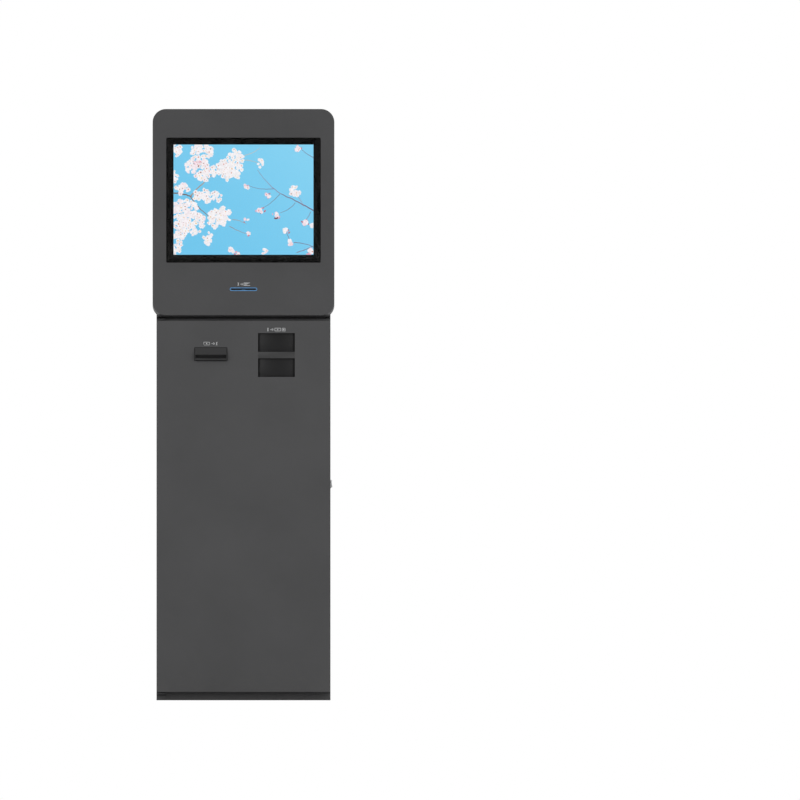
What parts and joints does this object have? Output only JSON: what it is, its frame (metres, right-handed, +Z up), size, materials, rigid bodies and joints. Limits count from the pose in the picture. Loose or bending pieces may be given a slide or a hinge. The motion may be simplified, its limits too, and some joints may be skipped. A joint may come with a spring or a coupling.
{
  "type": "cash kiosk",
  "caption": "Free-standing steel cash kiosk with a front door, a leaning display head that lifts, a receipt slot, a cash-in slot and push-in cash-out flaps.",
  "frame": {"origin": "centre of the cabinet's underside, on the floor", "axes": "+Z up, -Y out of the front, +X to the right of a person facing the front"},
  "size_m": [0.489, 0.4687, 1.5905],
  "materials": {
    "painted_steel": "satin powder coat",
    "frame_steel": "matt powder coat",
    "galvanised_case": "zinc-plated",
    "black_plastic": "fine texture",
    "smoked_flap": "smoked, polished",
    "display_glass": "polished",
    "black_print": "printed black",
    "display_picture": "lit display",
    "lit_ring": "translucent, lit blue",
    "polished_metal": "polished",
    "zinc_steel": "zinc-plated",
    "rubber": "matt",
    "roller_rubber": "matt",
    "speaker_black": "matt",
    "receipt_paper": "thermal paper"
  },
  "bodies": {
    "cabinet": {"base_plate": "painted_steel", "side_panel_left": "painted_steel", "side_panel_right": "painted_steel", "hood_top": "painted_steel", "rear_panel": "painted_steel", "front_frame": "painted_steel", "head_frame": "frame_steel", "lower_shelf": "frame_steel", "dispenser_shelf": "frame_steel", "pull_recess_left": "black_plastic", "pull_recess_right": "black_plastic", "speaker_left": "speaker_black", "speaker_right": "speaker_black", "computer": "galvanised_case", "power_supply": "galvanised_case", "mains_inlet": "black_plastic", "fan_frame": "black_plastic", "dispenser_frame": "frame_steel", "note_cassette_lower": "black_plastic", "note_cassette_upper": "black_plastic", "throat_upper": "black_plastic", "throat_lower": "black_plastic", "door_pivot_top": "frame_steel", "door_pivot_bottom": "frame_steel", "door_seal": "rubber", "head_hinge_base_leaves": "frame_steel", "head_hinge_pins": "polished_metal", "rear_screws": "polished_metal"},
    "front_door": {"door_panel": "painted_steel", "door_stiffener": "frame_steel", "cash_in_bezel": "black_plastic", "acceptor_chassis": "black_plastic", "stacker_box": "black_plastic", "cash_out_liner": "black_plastic", "door_lock_body": "polished_metal"},
    "head": {"head_housing": "painted_steel", "touch_glass": "display_glass", "display_mask": "black_print", "display_panel": "display_picture", "display_case": "galvanised_case", "display_rails": "frame_steel", "head_rear_cover": "frame_steel", "receipt_light_ring": "lit_ring", "receipt_mouth": "black_plastic", "printer_body": "black_plastic", "roll_spindle": "polished_metal", "head_hinge_leaves": "frame_steel"},
    "lock_core": {"lock_plug": "polished_metal", "lock_cam": "zinc_steel"},
    "lock_cover": {"lock_dust_cover": "polished_metal"},
    "flap_upper": {"cash_out_flap_upper": "smoked_flap"},
    "flap_lower": {"cash_out_flap_lower": "smoked_flap"},
    "acceptor_rollers": {"acceptor_roller": "roller_rubber"},
    "feed_upper": {"feed_roller_upper": "roller_rubber"},
    "feed_lower": {"feed_roller_lower": "roller_rubber"},
    "receipt_roll": {"paper_roll": "receipt_paper"},
    "platen": {"platen_roller": "roller_rubber"},
    "printer_lid": {"printer_lid": "black_plastic"},
    "rocker": {"rocker_switch": "black_plastic"},
    "fan_rotor": {"fan_rotor": "black_plastic"}
  },
  "joints": [
    {"name": "door_swing", "type": "hinge", "parent": "cabinet", "child": "front_door", "pos_m": [-0.22595, -0.232, 0], "axis": [0, 0, -1], "range_deg": [0, 110]},
    {"name": "head_lift", "type": "hinge", "parent": "cabinet", "child": "head", "pos_m": [0, -0.10581, 1.57369], "axis": [-1, 0, 0], "range_deg": [0, 75]},
    {"name": "lock_turn", "type": "hinge", "parent": "front_door", "child": "lock_core", "pos_m": [0.23395, -0.2275, 0.582], "axis": [-1, 0, 0], "range_deg": [0, 90]},
    {"name": "lock_cover_swing", "type": "hinge", "parent": "front_door", "child": "lock_cover", "pos_m": [0.23395, -0.2275, 0.59], "axis": [-1, 0, 0], "range_deg": [0, 100]},
    {"name": "flap_upper_push", "type": "hinge", "parent": "front_door", "child": "flap_upper", "pos_m": [0.0886, -0.2375, 0.9916], "axis": [1, 0, 0], "range_deg": [0, 75]},
    {"name": "flap_lower_push", "type": "hinge", "parent": "front_door", "child": "flap_lower", "pos_m": [0.0886, -0.2375, 0.9238], "axis": [1, 0, 0], "range_deg": [0, 75]},
    {"name": "acceptor_spin", "type": "hinge", "parent": "front_door", "child": "acceptor_rollers", "pos_m": [-0.088, -0.2115, 0.9175], "axis": [1, 0, 0], "continuous": true},
    {"name": "feed_upper_spin", "type": "hinge", "parent": "cabinet", "child": "feed_upper", "pos_m": [0.0886, -0.129, 0.9626], "axis": [1, 0, 0], "continuous": true},
    {"name": "feed_lower_spin", "type": "hinge", "parent": "cabinet", "child": "feed_lower", "pos_m": [0.0886, -0.129, 0.8948], "axis": [1, 0, 0], "continuous": true},
    {"name": "roll_spin", "type": "hinge", "parent": "head", "child": "receipt_roll", "pos_m": [0, -0.16504, 1.10536], "axis": [1, 0, 0], "continuous": true},
    {"name": "platen_spin", "type": "hinge", "parent": "head", "child": "platen", "pos_m": [0, -0.2161, 1.09223], "axis": [1, 0, 0], "continuous": true},
    {"name": "lid_open", "type": "hinge", "parent": "head", "child": "printer_lid", "pos_m": [0, -0.12377, 1.11484], "axis": [-1, 0, 0], "range_deg": [0, 80]},
    {"name": "rocker_tip", "type": "hinge", "parent": "cabinet", "child": "rocker", "pos_m": [-0.14195, 0.2, 0.164], "axis": [1, 0, 0], "range_deg": [0, 16]},
    {"name": "fan_spin", "type": "hinge", "parent": "cabinet", "child": "fan_rotor", "pos_m": [0.06, 0.1915, 1.18], "axis": [0, 1, 0], "continuous": true}
  ],
  "couplings": [
    {"joint": "roll_spin", "follows": "platen_spin", "ratio": -0.2857}
  ]
}
